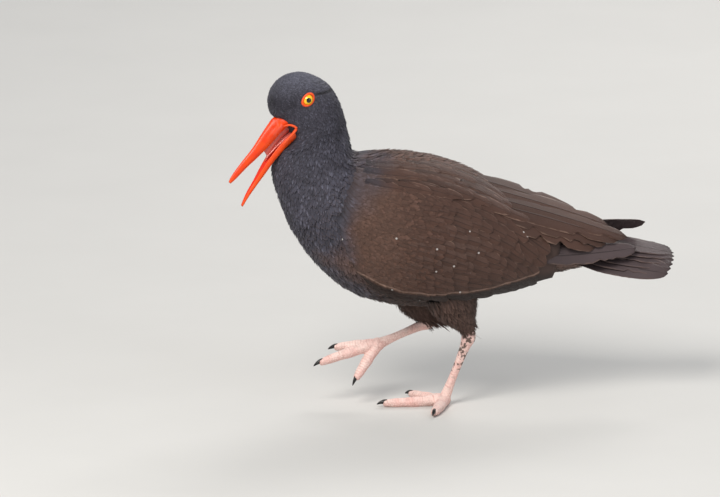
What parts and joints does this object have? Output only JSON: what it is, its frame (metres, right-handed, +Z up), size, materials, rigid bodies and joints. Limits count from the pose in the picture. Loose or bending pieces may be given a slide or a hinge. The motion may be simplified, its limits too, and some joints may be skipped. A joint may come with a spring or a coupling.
{
  "type": "oystercatcher",
  "caption": "Life-size black shorebird with a long red bill, walking with one foot raised and the bill open.",
  "frame": {"origin": "on the floor under the pad of the standing foot", "axes": "+Z up, -X the way the bird faces, -Y its left side"},
  "size_m": [0.3829, 0.114, 0.2954],
  "materials": {
    "slate_feathers": "matt dark slate feathers",
    "body_feathers": "matt blackish brown feathers",
    "wing_feathers": "matt warm dark brown feathers with paler worn edges",
    "flight_feathers": "matt dark brown stiff feathers",
    "bill": "smooth orange-red horn",
    "tongue": "moist pink-red",
    "eye": "wet yellow iris with a black pupil",
    "eye_ring": "fleshy orange-red lid",
    "leg_skin": "pale pink scaly skin",
    "claw": "black horn"
  },
  "bodies": {
    "root": {"neck": "slate_feathers", "torso": "body_feathers", "bill_upper": "bill", "bill_lower": "bill", "tongue": "tongue", "eye_left": "eye", "eye_ring_left": "eye_ring", "eye_right": "eye", "eye_ring_right": "eye_ring", "head": "slate_feathers", "tail": "flight_feathers", "wing_left": "wing_feathers", "scapulars_left": "wing_feathers", "tertials_left": "wing_feathers", "primaries_left": "flight_feathers", "wing_right": "wing_feathers", "scapulars_right": "wing_feathers", "tertials_right": "wing_feathers", "primaries_right": "flight_feathers", "tarsus_left": "leg_skin", "foot_left": "leg_skin", "claw_left_inner": "claw", "claw_left_middle": "claw", "claw_left_outer": "claw", "thigh_left": "body_feathers", "tarsus_right": "leg_skin", "foot_right": "leg_skin", "claw_right_inner": "claw", "claw_right_middle": "claw", "claw_right_outer": "claw", "thigh_right": "body_feathers"}
  },
  "joints": []
}
